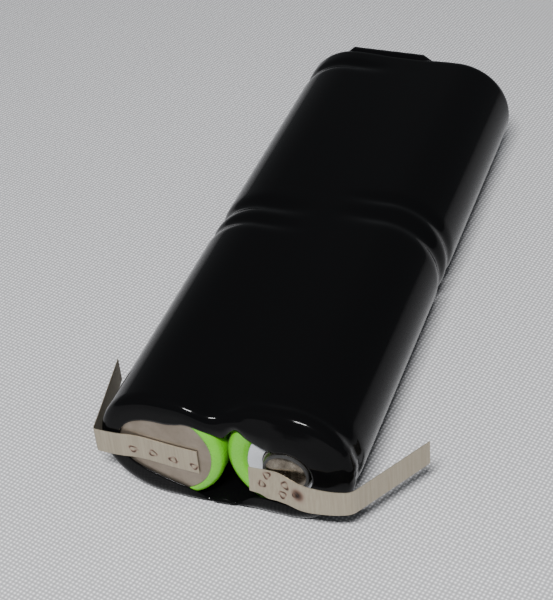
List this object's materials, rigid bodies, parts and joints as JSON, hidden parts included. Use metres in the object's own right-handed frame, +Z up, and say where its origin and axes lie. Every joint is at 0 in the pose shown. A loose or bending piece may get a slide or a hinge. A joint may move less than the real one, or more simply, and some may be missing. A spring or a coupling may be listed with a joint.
{
  "type": "cylindrical cell battery pack",
  "caption": "Flat shrink-wrapped pack of round nickel cells joined end to end and side by side, with two bent solder tabs.",
  "frame": {"origin": "centre of the flat underside of the pack, midway between the two lines of cells and between the cell ends", "axes": "+X to the right across the two lines, +Y from the tab end to the rear along the cells, +Z up, away from the surface it lies on"},
  "size_m": [0.0447, 0.0894, 0.0174],
  "materials": {
    "black_film": "very glossy black shrink film",
    "green_sleeve": "glossy lime-green shrink sleeve",
    "can_steel": "nickel-plated drawn steel, satin",
    "cap_nickel": "bright nickel plate",
    "nickel_strip": "pure nickel strip, satin, faint rolling streaks",
    "washer_paper": "matt white pressed paper",
    "nylon": "natural nylon",
    "vent_rubber": "matt black rubber",
    "positive_mass": "pressed nickel hydroxide on foam",
    "negative_mass": "metal powder coated on strip",
    "separator_felt": "thin white non-woven felt",
    "black_card": "black insulating card, smooth"
  },
  "bodies": {
    "pack": {"front_left_sleeve": "green_sleeve", "front_left_can": "can_steel", "front_left_gasket": "nylon", "front_left_lid_plate": "can_steel", "front_left_vent_plug": "vent_rubber", "front_left_positive_cap": "cap_nickel", "front_left_insulating_ring": "washer_paper", "front_left_positive_electrode": "positive_mass", "front_left_separator": "separator_felt", "front_left_negative_electrode": "negative_mass", "front_left_positive_lead": "nickel_strip", "front_left_insulating_discs": "nylon", "front_right_sleeve": "green_sleeve", "front_right_can": "can_steel", "front_right_gasket": "nylon", "front_right_lid_plate": "can_steel", "front_right_vent_plug": "vent_rubber", "front_right_positive_cap": "cap_nickel", "front_right_insulating_ring": "washer_paper", "front_right_positive_electrode": "positive_mass", "front_right_separator": "separator_felt", "front_right_negative_electrode": "negative_mass", "front_right_positive_lead": "nickel_strip", "front_right_insulating_discs": "nylon", "rear_left_sleeve": "green_sleeve", "rear_left_can": "can_steel", "rear_left_gasket": "nylon", "rear_left_lid_plate": "can_steel", "rear_left_vent_plug": "vent_rubber", "rear_left_positive_cap": "cap_nickel", "rear_left_insulating_ring": "washer_paper", "rear_left_positive_electrode": "positive_mass", "rear_left_separator": "separator_felt", "rear_left_negative_electrode": "negative_mass", "rear_left_positive_lead": "nickel_strip", "rear_left_insulating_discs": "nylon", "rear_right_sleeve": "green_sleeve", "rear_right_can": "can_steel", "rear_right_gasket": "nylon", "rear_right_lid_plate": "can_steel", "rear_right_vent_plug": "vent_rubber", "rear_right_positive_cap": "cap_nickel", "rear_right_insulating_ring": "washer_paper", "rear_right_positive_electrode": "positive_mass", "rear_right_separator": "separator_felt", "rear_right_negative_electrode": "negative_mass", "rear_right_positive_lead": "nickel_strip", "rear_right_insulating_discs": "nylon", "outer_sleeve": "black_film", "rear_card": "black_card", "left_link": "nickel_strip", "right_link": "nickel_strip", "rear_link": "nickel_strip", "negative_tab": "nickel_strip", "positive_tab": "nickel_strip"},
    "negative_leg": {"negative_tab_leg": "nickel_strip"},
    "positive_leg": {"positive_tab_leg": "nickel_strip"}
  },
  "joints": [
    {"name": "negative_tab_bend", "type": "hinge", "parent": "pack", "child": "negative_leg", "pos_m": [-0.01773, -0.04351, 0.0084], "axis": [0, 0, 1], "range_deg": [-9, 125]},
    {"name": "positive_tab_bend", "type": "hinge", "parent": "pack", "child": "positive_leg", "pos_m": [0.01753, -0.044, 0.007], "axis": [0, 0, 1], "range_deg": [-100, 30]}
  ]
}
